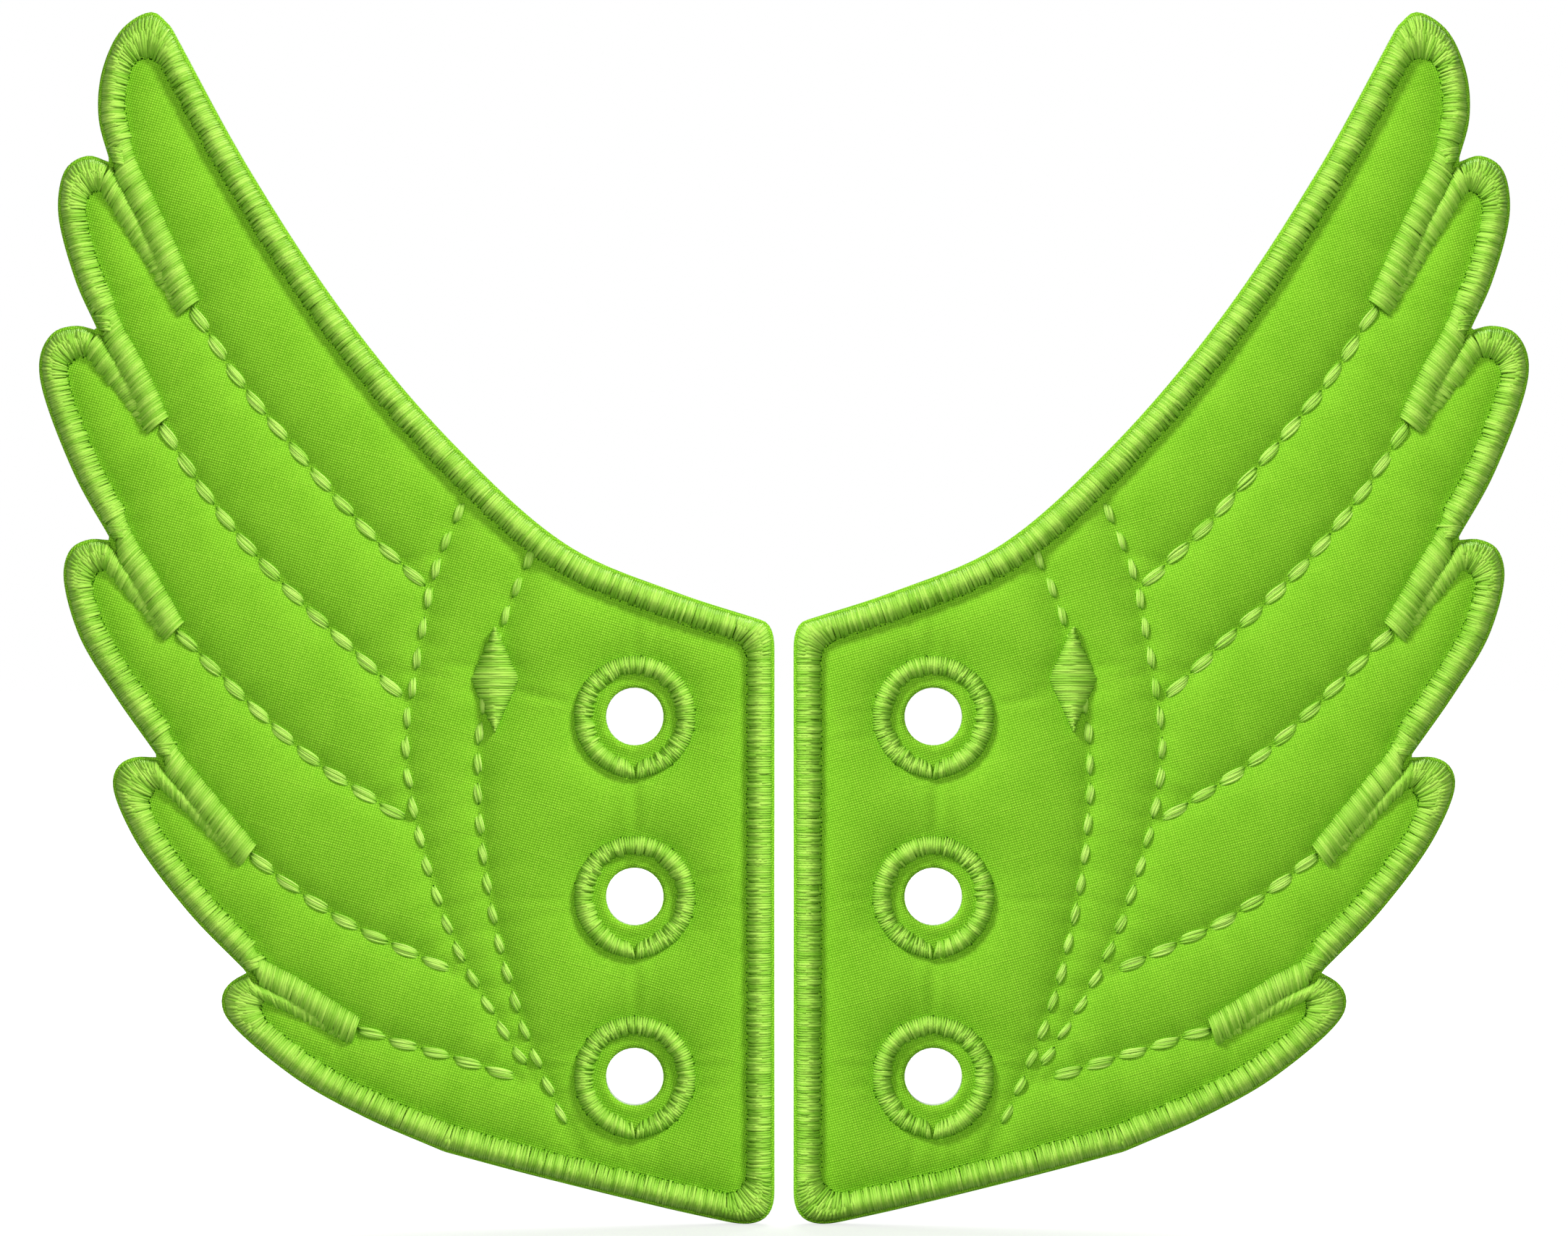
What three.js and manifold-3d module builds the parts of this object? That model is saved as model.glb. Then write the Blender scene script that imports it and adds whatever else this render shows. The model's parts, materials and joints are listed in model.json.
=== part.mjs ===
// A pair of lace-on shoe wings: two mirror-image, foam-padded fabric wings with a satin-stitched edge,
// quilted feathers and three lace holes each. The pair stands side by side, faces towards -Y.
//
// Frame, in millimetres: X across the pair with X = 0 midway between the wings, Z up the lace panel,
// -Y out of the decorated face. Z = 0 is the lowest point of the bottom corners, Y = 0 the middle of the padding.
//
// A wing is a stack of front cover, foam and back cover. Its edging wraps the cut edge of all three layers.
// The lace panel and the feathered flap are one soft piece that bends along a vertical line beside the holes.
// A rigid solid can't bend, so every layer that crosses the line is cut there, with room to fold both ways.

import * as THREE from "three";
import { mergeVertices } from "three/addons/utils/BufferGeometryUtils.js";
import Module from "manifold-3d";

const wasm = await Module();
wasm.setup();

// ---- Driving dimensions ----
const LACE_PITCH = 19.05; // three-quarters of an inch, the usual eyelet spacing of a lace-up shoe
const LACE_HOLE_R = 3.05;
const LACE_COLUMN_X = 15.8; // the holes' distance from the pair's midline
const LOWEST_HOLE_Z = 15.5;
const PANEL_EDGE_X = 0.97; // half the gap between the two wings
const FOLD_X = 24.6; // where the flap bends away from the lace panel
const FOLD_CLEARANCE = 0.9; // each side of the fold line, enough for 45 degrees at the edging's full thickness

// ---- Layers, as distances from the middle of the padding ----
const FOAM_HALF = 1.0;
const LAYER_GAP = 0.05;
const COVER_INNER = FOAM_HALF + LAYER_GAP;
const COVER_OUTER = COVER_INNER + 0.35;
const THREAD_INNER = COVER_OUTER + LAYER_GAP;
const EDGING_OUTER = 1.8;
const STITCH_OUTER = 1.7;

// ---- Stitching widths ----
const EDGING_WIDTH = 3.2;
const EDGING_WRAP = 0.5; // how much edging stands outside the cut edge of the layers
const RING_OUTER_R = 6.25;
const RING_INNER_R = 4.45;
const QUILT_WIDTH = 0.8;
const DIVIDER_ROOT_WIDTH = 3.5;
const DIVIDER_TIP_WIDTH = 2.6;
const JUNCTION_GAP = 0.35; // between a stitch line and the line it runs up to
const ROUND_SEGMENTS = 18;
const FAR = 300; // larger than the whole pair, for cutting boxes

// ---- The right wing's outline, as [distance from the midline, height] ----
const LEADING_EDGE = [
  [2.2, 63.8], [11.7, 66.9], [22.8, 71.7], [34.7, 82.2], [46, 95.5], [56.5, 111.4], [64.9, 126.7],
];
const FEATHERS = [
  [[64.9, 126.7], [66.8, 128.2], [70, 126.5], [72.2, 122], [72.6, 117], [71.4, 112.3]],
  [[71.4, 112.3], [73.6, 113], [75.9, 111.8], [76.9, 107.6], [75.1, 99.9], [72.7, 94.5]],
  [[72.7, 94.5], [74.8, 95], [77.2, 94.4], [78.6, 92.4], [78.8, 89.4], [75.2, 79.3], [71.3, 72.3]],
  [[71.3, 72.3], [73.5, 72.4], [75.4, 71.5], [76.3, 69], [74.8, 62.5], [71.2, 56.3], [66.3, 49.3]],
  [[66.3, 49.3], [68.9, 49.3], [70.4, 48.5], [71.1, 46.6], [69, 41], [63.2, 33], [56.9, 26.5]],
  [[56.9, 26.5], [58.6, 25.5], [59.5, 24.1], [59.2, 22], [52.2, 15.6], [44.5, 11.2], [36, 7.5]],
];
const BOTTOM_EDGE = [[36, 7.5], [27.4, 5.2], [12, 1.4], [6, 0.08]];
const BOTTOM_CORNER = [[6, 0.08], [PANEL_EDGE_X, -1.0], [PANEL_EDGE_X, 3.2]];
const TOP_CORNER = [[PANEL_EDGE_X, 60.8], [PANEL_EDGE_X, 63.3], [2.2, 63.8]];

// ---- Stitch lines on that wing. The first two run from the leading edge down towards the bottom corner. ----
const INNER_LINE = [
  [26.5, 71.3], [29.4, 64.4], [31.6, 56], [32.4, 48], [31.4, 36], [27.8, 21.5], [23, 10.3], [21.8, 7.9],
];
const OUTER_LINE = [
  [33.9, 76.2], [36.9, 69], [38.9, 59], [40, 50.5], [38.7, 41.5], [34.9, 29.9], [28.9, 19.1], [25.6, 14.5],
];
// From each notch a tapering satin divider runs inwards, and a quilted line carries it on to the outer line.
const DIVIDERS = [
  [[70.2, 112.9], [66.5, 105.3], [62.7, 97]],
  [[71.6, 95.2], [68.3, 89.4], [66, 84.6]],
  [[70.5, 72.9], [67.9, 68.8], [64.3, 62.8]],
  [[65.6, 49.9], [62.1, 45.7], [56.5, 39.1]],
  [[56.5, 27.3], [52.1, 24.9], [45.2, 20.6]],
];
const FEATHER_LINES = [
  [[62.7, 97], [57.6, 89.1], [51, 81], [43.9, 73], [37.65, 67.1]],
  [[66, 84.6], [60.6, 76.4], [53.6, 68.2], [45.7, 60.7], [39.7, 55]],
  [[64.3, 62.8], [57.9, 56.3], [49.7, 48.9], [43.9, 45.1], [39.1, 42.1]],
  [[56.5, 39.1], [51.9, 35.5], [46, 31.7], [40.2, 29], [32.8, 25.6]],
  [[45.2, 20.6], [39.9, 18.9], [33.7, 17.1], [26.9, 14.9]],
];
const MOTIF_CENTRE = [30.6, 57.6];
const MOTIF_HALF_WIDTH = 2.6;
const MOTIF_HALF_HEIGHT = 5.6;

const HOLE_NAMES = ["bottom", "middle", "top"];

// ---- Curves and flat shapes, drawn in XY: X is the distance from the midline, Y the height ----
const vectors = (pairs) => pairs.map(([x, y]) => new THREE.Vector2(x, y));

// A smooth curve through a few points, sampled about every `step` millimetres.
function smooth(pairs, step) {
  const curve = new THREE.CatmullRomCurve3(pairs.map(([x, y]) => new THREE.Vector3(x, y, 0)), false, "centripetal");
  const count = Math.max(2, Math.round(curve.getLength() / step));
  return curve.getSpacedPoints(count).map((p) => new THREE.Vector2(p.x, p.y));
}

function corner(pairs, count) {
  return new THREE.QuadraticBezierCurve(...vectors(pairs)).getPoints(count);
}

// Anticlockwise round the wing, from the bottom corner up the lace panel's edge and out along the feathers.
function wingOutline() {
  const feathers = FEATHERS.map((feather) => smooth(feather, 2.3));
  const clockwise = [
    smooth(LEADING_EDGE, 5),
    ...feathers,
    smooth(BOTTOM_EDGE, 8),
    corner(BOTTOM_CORNER, 5),
    corner(TOP_CORNER, 4),
  ].flat();
  const apart = (p, i) => p.distanceTo(clockwise[(i + 1) % clockwise.length]) > 0.01;
  return clockwise.filter(apart).reverse();
}

function distanceToOutline(p, outline) {
  const nearest = new THREE.Vector3();
  const target = new THREE.Vector3(p.x, p.y, 0);
  const side = new THREE.Line3();
  const distances = outline.map((a, i) => {
    const b = outline[(i + 1) % outline.length];
    side.start.set(a.x, a.y, 0);
    side.end.set(b.x, b.y, 0);
    return side.closestPointToPoint(target, true, nearest).distanceTo(target);
  });
  return Math.min(...distances);
}

// The outline moved inwards: mitred where it bulges, rounded where a notch points inwards.
function inset(outline, depth) {
  const moved = [];
  outline.forEach((p, i) => {
    const before = outline.at(i - 1);
    const after = outline[(i + 1) % outline.length];
    const arriving = new THREE.Vector2().subVectors(p, before).normalize();
    const leaving = new THREE.Vector2().subVectors(after, p).normalize();
    const first = Math.atan2(arriving.x, -arriving.y);
    const turn = Math.atan2(arriving.cross(leaving), arriving.dot(leaving));
    const isNotch = turn < -Math.PI / 8;
    const steps = isNotch ? 4 : 0;
    for (let k = 0; k <= steps; k += 1) {
      const angle = first + (isNotch ? (turn * k) / steps : turn / 2);
      const reach = isNotch ? depth : depth / Math.cos(turn / 2);
      moved.push(new THREE.Vector2(p.x + reach * Math.cos(angle), p.y + reach * Math.sin(angle)));
    }
  });
  return moved.filter((p) => distanceToOutline(p, outline) > depth - 0.02);
}

// A strip of changing width along a path, as a closed outline.
function strip(path, startWidth, endWidth) {
  const left = [];
  const right = [];
  path.forEach((p, i) => {
    const before = path[Math.max(i - 1, 0)];
    const after = path[Math.min(i + 1, path.length - 1)];
    const along = new THREE.Vector2().subVectors(after, before).normalize();
    const half = THREE.MathUtils.lerp(startWidth, endWidth, i / (path.length - 1)) / 2;
    left.push(new THREE.Vector2(p.x - along.y * half, p.y + along.x * half));
    right.push(new THREE.Vector2(p.x + along.y * half, p.y - along.x * half));
  });
  return [...left, ...right.reverse()];
}

function circle(x, y, radius) {
  return new THREE.EllipseCurve(x, y, radius, radius, 0, Math.PI * 2).getPoints(ROUND_SEGMENTS).slice(0, -1);
}

const laceHoles = HOLE_NAMES.map((name, i) => ({ name, x: LACE_COLUMN_X, y: LOWEST_HOLE_Z + i * LACE_PITCH }));

// ---- Solids ----
// A flat outline made into a slab between two distances from the middle of the padding; + is the front.
function slab(outline, from, to, holes = []) {
  const shape = new THREE.Shape(outline);
  shape.holes = holes.map((hole) => new THREE.Path(hole));
  const plate = new THREE.ExtrudeGeometry(shape, { depth: Math.abs(to - from), bevelEnabled: false });
  return toSolid(plate.translate(0, 0, Math.min(from, to)));
}

function toSolid(geometry) {
  geometry.deleteAttribute("normal");
  geometry.deleteAttribute("uv");
  const merged = mergeVertices(geometry, 1e-4);
  const vertProperties = new Float32Array(merged.attributes.position.array);
  const triVerts = new Uint32Array(merged.index.array);
  return new wasm.Manifold(new wasm.Mesh({ numProp: 3, vertProperties, triVerts }));
}

function toGeometry(solid) {
  const mesh = solid.getMesh();
  const geometry = new THREE.BufferGeometry();
  geometry.setAttribute("position", new THREE.BufferAttribute(new Float32Array(mesh.vertProperties), 3));
  geometry.setIndex(new THREE.BufferAttribute(new Uint32Array(mesh.triVerts), 1));
  geometry.computeVertexNormals();
  return geometry;
}

// Everything on one side of the fold line, held clear of it.
function sideOfFold(direction) {
  const block = new THREE.BoxGeometry(FAR, FAR * 2, FAR);
  return toSolid(block.translate(FOLD_X + direction * (FOLD_CLEARANCE + FAR / 2), 0, 0));
}
const panelSide = sideOfFold(-1);
const flapSide = sideOfFold(1);

const outline = wingOutline();
const layerOutline = inset(outline, EDGING_WRAP);
const edgingInnerOutline = inset(outline, EDGING_WIDTH);
const holeCircles = laceHoles.map((hole) => circle(hole.x, hole.y, LACE_HOLE_R));

function layer(from, to) {
  return slab(layerOutline, from, to, holeCircles);
}

// A channel that wraps the cut edge of the three layers.
function edging() {
  const rim = slab(outline, -EDGING_OUTER, EDGING_OUTER, [edgingInnerOutline]);
  const groove = slab(inset(outline, EDGING_WRAP - LAYER_GAP), -THREAD_INNER, THREAD_INNER);
  return rim.subtract(groove);
}

function stitchLine(pairs, from, to) {
  return slab(strip(smooth(pairs, 4), QUILT_WIDTH, QUILT_WIDTH), from, to);
}

// A divider, without the root that lies under the edging.
function divider(pairs, from, to) {
  const tapered = strip(smooth(pairs, 3), DIVIDER_ROOT_WIDTH, DIVIDER_TIP_WIDTH);
  const inside = slab(inset(outline, EDGING_WIDTH + LAYER_GAP), from - LAYER_GAP, to + LAYER_GAP);
  return slab(tapered, from, to).intersect(inside);
}

// A stitch line held clear of the line or divider it meets at either end.
function clearOf(solid, pairs, startWidth, endWidth) {
  const moat = strip(smooth(pairs, 3), startWidth + 2 * JUNCTION_GAP, endWidth + 2 * JUNCTION_GAP);
  return solid.subtract(slab(moat, -FAR, FAR));
}

const lengthened = (pairs, by) => {
  const [last, previous] = [pairs.at(-1), pairs.at(-2)];
  const along = Math.hypot(last[0] - previous[0], last[1] - previous[1]);
  const reach = (i) => last[i] + ((last[i] - previous[i]) / along) * by;
  return [...pairs, [reach(0), reach(1)]];
};

function ring(hole, from, to) {
  return slab(circle(hole.x, hole.y, RING_OUTER_R), from, to, [circle(hole.x, hole.y, RING_INNER_R)]);
}

function motif() {
  const [x, y] = MOTIF_CENTRE;
  const lozenge = vectors([
    [x + MOTIF_HALF_WIDTH, y], [x, y + MOTIF_HALF_HEIGHT], [x - MOTIF_HALF_WIDTH, y], [x, y - MOTIF_HALF_HEIGHT],
  ]);
  const channel = strip(smooth(INNER_LINE, 4), QUILT_WIDTH + 2 * LAYER_GAP, QUILT_WIDTH + 2 * LAYER_GAP);
  return slab(lozenge, THREAD_INNER, EDGING_OUTER).subtract(slab(channel, 0, STITCH_OUTER + LAYER_GAP));
}

// The bobbin thread of every quilted line and divider, which joins up across the back of the flap.
function backStitching() {
  const dividers = DIVIDERS.map((pairs) => divider(pairs, -THREAD_INNER, -STITCH_OUTER));
  const lines = [INNER_LINE, OUTER_LINE, ...FEATHER_LINES].map((pairs) => {
    return stitchLine(lengthened(pairs, QUILT_WIDTH / 2), -THREAD_INNER, -STITCH_OUTER);
  });
  return [...dividers, ...lines].reduce((all, next) => all.add(next));
}

// ---- Materials ----
const finish = (name, color, roughness) => new THREE.MeshStandardMaterial({ name, color, roughness, metalness: 0 });
const coverCloth = finish("cover_cloth", 0x74c41c, 0.62);
const satinThread = finish("satin_thread", 0x86d81e, 0.4);
const paleFoam = finish("pale_foam", 0xdfe6dc, 0.9);

// ---- One wing, as named meshes in its own group ----
function wing(side) {
  const group = new THREE.Group();
  const put = (name, solid, material) => {
    const mesh = new THREE.Mesh(toGeometry(solid), material);
    mesh.name = side + "_" + name;
    group.add(mesh);
  };
  const putBothSides = (name, solid, material) => {
    put(name + "_panel", solid.intersect(panelSide), material);
    put(name + "_flap", solid.intersect(flapSide), material);
  };
  putBothSides("front_cover", layer(COVER_INNER, COVER_OUTER), coverCloth);
  putBothSides("foam_core", layer(-FOAM_HALF, FOAM_HALF), paleFoam);
  putBothSides("back_cover", layer(-COVER_OUTER, -COVER_INNER), coverCloth);
  putBothSides("edging", edging(), satinThread);
  laceHoles.forEach((hole) => {
    put("eyelet_ring_" + hole.name, ring(hole, THREAD_INNER, EDGING_OUTER), satinThread);
    put("eyelet_back_ring_" + hole.name, ring(hole, -STITCH_OUTER, -THREAD_INNER), satinThread);
  });

  const insideEdging = slab(inset(outline, EDGING_WIDTH + LAYER_GAP), 0, FAR);
  const innerLine = stitchLine(INNER_LINE, THREAD_INNER, STITCH_OUTER).intersect(insideEdging);
  putBothSides("inner_quilt_line", innerLine, satinThread);
  const outerLine = stitchLine(OUTER_LINE, THREAD_INNER, STITCH_OUTER).intersect(insideEdging);
  put("outer_quilt_line", clearOf(outerLine, INNER_LINE, QUILT_WIDTH, QUILT_WIDTH), satinThread);
  FEATHER_LINES.forEach((pairs, i) => {
    const whole = stitchLine(pairs, THREAD_INNER, STITCH_OUTER);
    const clearOfLine = clearOf(whole, OUTER_LINE, QUILT_WIDTH, QUILT_WIDTH);
    const line = clearOf(clearOfLine, DIVIDERS[i], DIVIDER_ROOT_WIDTH, DIVIDER_TIP_WIDTH);
    put("feather_line_" + (i + 1), clearOf(line, INNER_LINE, QUILT_WIDTH, QUILT_WIDTH), satinThread);
    put("feather_divider_" + (i + 1), divider(DIVIDERS[i], THREAD_INNER, EDGING_OUTER), satinThread);
  });
  put("stitched_motif", motif(), satinThread);
  const backInside = slab(inset(outline, EDGING_WIDTH + LAYER_GAP), -FAR, 0);
  put("back_stitching", backStitching().intersect(backInside).intersect(flapSide), satinThread);
  return group;
}

// ---- The pair: drawn flat in XY, stood up so that height is Z and the front faces -Y ----
const rightWing = wing("right");
const leftWing = wing("left");
leftWing.scale.x = -1;

const pair = new THREE.Group();
pair.add(rightWing, leftWing);
pair.rotation.x = Math.PI / 2;
pair.position.z = -Math.min(...outline.map((p) => p.y));

export default pair;
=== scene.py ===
"""Looks for a pair of lace-on shoe wings: quilted ripstop cloth over foam, with satin-stitched edges.

A wing is worked out flat, as a pattern in millimetres: u is the distance from the pair's midline, v the
height and h the distance out of the front face from the middle of the padding. Every thread is a real
strand. Both wings come from the one pattern, and the left one is mirrored.
"""

import json
import math
from collections import namedtuple

import bpy
import numpy as np
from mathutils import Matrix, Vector, geometry, kdtree

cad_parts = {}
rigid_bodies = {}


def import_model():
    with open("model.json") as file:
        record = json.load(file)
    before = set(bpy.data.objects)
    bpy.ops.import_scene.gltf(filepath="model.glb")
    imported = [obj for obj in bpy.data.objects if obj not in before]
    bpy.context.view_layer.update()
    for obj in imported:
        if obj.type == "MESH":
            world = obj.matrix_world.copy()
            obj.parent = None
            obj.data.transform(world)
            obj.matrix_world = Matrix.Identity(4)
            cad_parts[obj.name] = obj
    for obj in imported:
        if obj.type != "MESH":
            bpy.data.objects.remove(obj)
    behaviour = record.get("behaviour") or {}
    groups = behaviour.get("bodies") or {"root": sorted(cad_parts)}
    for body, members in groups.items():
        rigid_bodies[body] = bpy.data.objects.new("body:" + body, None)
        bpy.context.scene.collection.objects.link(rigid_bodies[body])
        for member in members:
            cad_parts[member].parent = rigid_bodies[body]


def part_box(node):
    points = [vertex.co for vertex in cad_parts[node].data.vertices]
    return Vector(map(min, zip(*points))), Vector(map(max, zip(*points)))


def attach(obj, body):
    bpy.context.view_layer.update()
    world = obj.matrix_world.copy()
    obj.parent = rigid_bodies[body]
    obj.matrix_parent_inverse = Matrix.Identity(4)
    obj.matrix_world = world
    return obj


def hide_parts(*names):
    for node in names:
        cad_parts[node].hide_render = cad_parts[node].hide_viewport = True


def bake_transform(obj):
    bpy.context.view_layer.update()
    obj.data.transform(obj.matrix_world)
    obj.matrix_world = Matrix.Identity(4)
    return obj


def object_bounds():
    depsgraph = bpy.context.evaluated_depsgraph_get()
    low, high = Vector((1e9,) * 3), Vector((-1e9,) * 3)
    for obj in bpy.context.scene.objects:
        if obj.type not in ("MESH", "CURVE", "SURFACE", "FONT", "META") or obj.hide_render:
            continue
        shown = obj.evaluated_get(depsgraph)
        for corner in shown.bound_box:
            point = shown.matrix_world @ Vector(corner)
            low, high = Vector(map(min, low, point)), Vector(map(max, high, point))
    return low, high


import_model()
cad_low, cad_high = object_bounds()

MM = 0.001

# ---- The wing's pattern, the CAD model's own outline and stitch lines: [u, v] ----
PANEL_EDGE = 0.97
LEADING_EDGE = [
    [2.2, 63.8], [11.7, 66.9], [22.8, 71.7], [34.7, 82.2], [46, 95.5], [56.5, 111.4], [64.9, 126.7],
]
FEATHERS = [
    [[64.9, 126.7], [66.8, 128.2], [70, 126.5], [72.2, 122], [72.6, 117], [71.4, 112.3]],
    [[71.4, 112.3], [73.6, 113], [75.9, 111.8], [76.9, 107.6], [75.1, 99.9], [72.7, 94.5]],
    [[72.7, 94.5], [74.8, 95], [77.2, 94.4], [78.6, 92.4], [78.8, 89.4], [75.2, 79.3], [71.3, 72.3]],
    [[71.3, 72.3], [73.5, 72.4], [75.4, 71.5], [76.3, 69], [74.8, 62.5], [71.2, 56.3], [66.3, 49.3]],
    [[66.3, 49.3], [68.9, 49.3], [70.4, 48.5], [71.1, 46.6], [69, 41], [63.2, 33], [56.9, 26.5]],
    [[56.9, 26.5], [58.6, 25.5], [59.5, 24.1], [59.2, 22], [52.2, 15.6], [44.5, 11.2], [36, 7.5]],
]
BOTTOM_EDGE = [[36, 7.5], [27.4, 5.2], [12, 1.4], [6, 0.08]]
BOTTOM_CORNER = [[6, 0.08], [PANEL_EDGE, -1.0], [PANEL_EDGE, 3.2]]
TOP_CORNER = [[PANEL_EDGE, 60.8], [PANEL_EDGE, 63.3], [2.2, 63.8]]
INNER_LINE = [
    [26.5, 71.3], [29.4, 64.4], [31.6, 56], [32.4, 48],
    [31.4, 36], [27.8, 21.5], [23, 10.3], [21.8, 7.9],
]
OUTER_LINE = [
    [33.9, 76.2], [36.9, 69], [38.9, 59], [40, 50.5],
    [38.7, 41.5], [34.9, 29.9], [28.9, 19.1], [25.6, 14.5],
]
DIVIDERS = [
    [[70.2, 112.9], [66.5, 105.3], [62.7, 97]],
    [[71.6, 95.2], [68.3, 89.4], [66, 84.6]],
    [[70.5, 72.9], [67.9, 68.8], [64.3, 62.8]],
    [[65.6, 49.9], [62.1, 45.7], [56.5, 39.1]],
    [[56.5, 27.3], [52.1, 24.9], [45.2, 20.6]],
]
FEATHER_LINES = [
    [[62.7, 97], [57.6, 89.1], [51, 81], [43.9, 73], [37.65, 67.1]],
    [[66, 84.6], [60.6, 76.4], [53.6, 68.2], [45.7, 60.7], [39.7, 55]],
    [[64.3, 62.8], [57.9, 56.3], [49.7, 48.9], [43.9, 45.1], [39.1, 42.1]],
    [[56.5, 39.1], [51.9, 35.5], [46, 31.7], [40.2, 29], [32.8, 25.6]],
    [[45.2, 20.6], [39.9, 18.9], [33.7, 17.1], [26.9, 14.9]],
]
MOTIF_CENTRE = np.array([30.6, 57.6])
MOTIF_HALF_WIDTH = 2.6
MOTIF_HALF_HEIGHT = 5.6
MOTIF_SLOPE = 0.9  # a distance square to the lozenge's side, as a share of the same distance along u
RINGS = ("bottom", "middle", "top")
HOLE_RADIUS = 3.05
RING_INNER = 4.45
RING_OUTER = 6.35
EDGING_START = 0.42  # the edging's outer end, in from the cut edge
EDGING_END = 2.95  # its inner end
INNER_ROUND = 1.7  # the least radius of the edging's inner corners
DIVIDER_WIDTH = (2.9, 2.2)  # at its notch, and at its blunt end
DIVIDER_LEAD = 10  # how many drawing steps before its notch a divider starts
FORK_START = 2.4  # how far along a feather's tip its edging turns back beside the divider
FORK_WIDTH = 1.9  # how far the turned-back edging reaches from the divider's middle at its end
FORK_ROOT = 0.7  # where the turned-back stitches start at that end
FORK_SHORT = 0.4  # how far before the divider's end they stop
FORK_LEAST = 0.25  # how far their crest still stands above the sewn cover there

# ---- How finely curves and cloth are drawn ----
OUTLINE_STEP = 0.5
DRAW_STEP = 0.3  # of dividers and feather tips
CORE_STEP = 0.12  # of the edging's inner side, fine enough for even stitches
CLOTH_SPACING = 0.6
CLOTH_INSET = 0.04
GRID_WIDTH, GRID_HEIGHT = 80, 130  # a little more than the wing

# ---- Heights of the padding, out from its middle ----
SEWN = 0.68  # where stitching pulls the cover down
CUT_EDGE = 0.5  # the layers' squeezed half-thickness at the cut edge
SWELL_REACH = 4.5  # how far from its stitching a channel reaches full height
MOST_SWELL = 1.4
MOST_SLIP = 0.5  # how far the swelling cover may creep sideways
HOLE_LIP = 0.3  # the free cloth round a lace hole stands up a little
LIP_MIDDLE, LIP_SPREAD = 0.45, 0.5  # out from the hole's rim
NEEDLE_PULL = 0.12  # how far the needle holes pull the cover down further
PULL_LENGTH, PULL_WIDTH = 0.8, 0.9  # how soon that fades, along a quilted line and away from it
BACK_SHARE = 0.75  # the back swells less
CLOTH = 0.22  # a cover's thickness
LAYER_GAP = 0.03  # keeps the foam clear of the covers

# ---- Crests of the stitching, out from the padding's middle: front, back ----
EDGING_CREST = (2.0, 1.7)
RING_CREST = (1.75, 1.4)
DIVIDER_CREST = (1.8, 1.45)
MOTIF_CREST = 1.9
FEATHER_LINE_CREST = (1.12, 1.1)
PANEL_LINE_CREST = (1.08, 1.06)

# ---- Stitching ----
SATIN_PITCH = 0.25
STRAND_WIDTH = 0.34
STRAND_DEPTH = 0.45  # of its width
STRAND_SIDES = 6
STRAND_STEPS = 8
MOST_RAGGED = 0.2  # the most that a strand's far end is long or short
PEAK_WANDER = 0.03  # how much the crest wanders, as a share of a strand's length
UNEVEN_LIFT = 0.018
HELD_MARGIN = 0.1  # how near the edge of a row of satin the cover comes free
LINE_MARGIN = 0.05  # the same for a quilted line
CROWDED, SHORT_STITCH = 0.4, 0.72  # where edging stitches crowd, every other one is short
RING_LEAN, LEAN_REACH = 0.07, 0.05  # radians at the ring's foot, and the share of a turn it fades over
RING_FOOT, FOOT_REACH = (0.55, 0.25), 0.04  # how far the ring's inner and outer sides drop at its foot
SATIN_SLANT = 0.35  # how far a divider's strands lean along it at each end
# A quilted line's bundles of strands: their pitch and length, half a bundle's width, and a strand's width.
Stitch = namedtuple("Stitch", "pitch length spread strand")
FEATHER_STITCH = Stitch(3.55, 2.95, 0.42, 0.26)
PANEL_STITCH = Stitch(3.2, 2.1, 0.28, 0.25)
BUNDLE_STRANDS = 6
BUNDLE_WAIST = 0.62  # a bundle's width at its ends, as a share of its middle's
BUNDLE_LAG = 0.12  # how unevenly its strands start
BUNDLE_TWIST = 0.12
FIRST_STITCH = 0.15  # from the line's start
NEEDLE_RADIUS, NEEDLE_PROUD, NEEDLE_DEPTH = 0.09, 0.03, 0.2
NEEDLE_GAP = 0.05  # from a bundle's end to its needle hole
RING_HOLES = 56

# ---- The cover's cloth simulation, at 100 times life size, where the solver is stable ----
SIM_SCALE = 0.1
SIM_FRAMES = 22
SIM_PRESSURE = 15.0
SIM_SLACK = 0.012
SIM_START = 0.06  # how far the cover already swells at the start, in millimetres of the wing


# ======== Curves ========
def smooth(points, step):
    """A centripetal Catmull-Rom curve through the points, sampled evenly about every step."""
    p = np.array(points, float)
    p = np.vstack([2 * p[0] - p[1], p, 2 * p[-1] - p[-2]])
    t = np.linspace(0, 1, 40, endpoint=False)[:, None]
    pieces = []
    for a, b, c, d in zip(p[:-3], p[1:-2], p[2:-1], p[3:]):
        ab, bc, cd = (max(np.linalg.norm(y - x), 1e-6) ** 0.5 for x, y in ((a, b), (b, c), (c, d)))
        start = ((b - a) / ab - (c - a) / (ab + bc) + (c - b) / bc) * bc
        end = ((c - b) / bc - (d - b) / (bc + cd) + (d - c) / cd) * bc
        pieces.append(
            b + t * start
            + t**2 * (3 * (c - b) - 2 * start - end)
            + t**3 * (2 * (b - c) + start + end)
        )
    return resample(np.vstack(pieces + [p[-2:-1]]), step)


def resample(path, step):
    along = lengths(path)
    count = max(2, round(along[-1] / step) + 1)
    return at(path, np.linspace(0, along[-1], count))


def lengths(path):
    return np.concatenate([[0], np.cumsum(np.linalg.norm(np.diff(path, axis=0), axis=1))])


def at(path, where):
    """The points of a path at the given lengths along it."""
    along = lengths(path)
    return np.stack([np.interp(where, along, path[:, k]) for k in range(path.shape[1])], axis=1)


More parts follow.
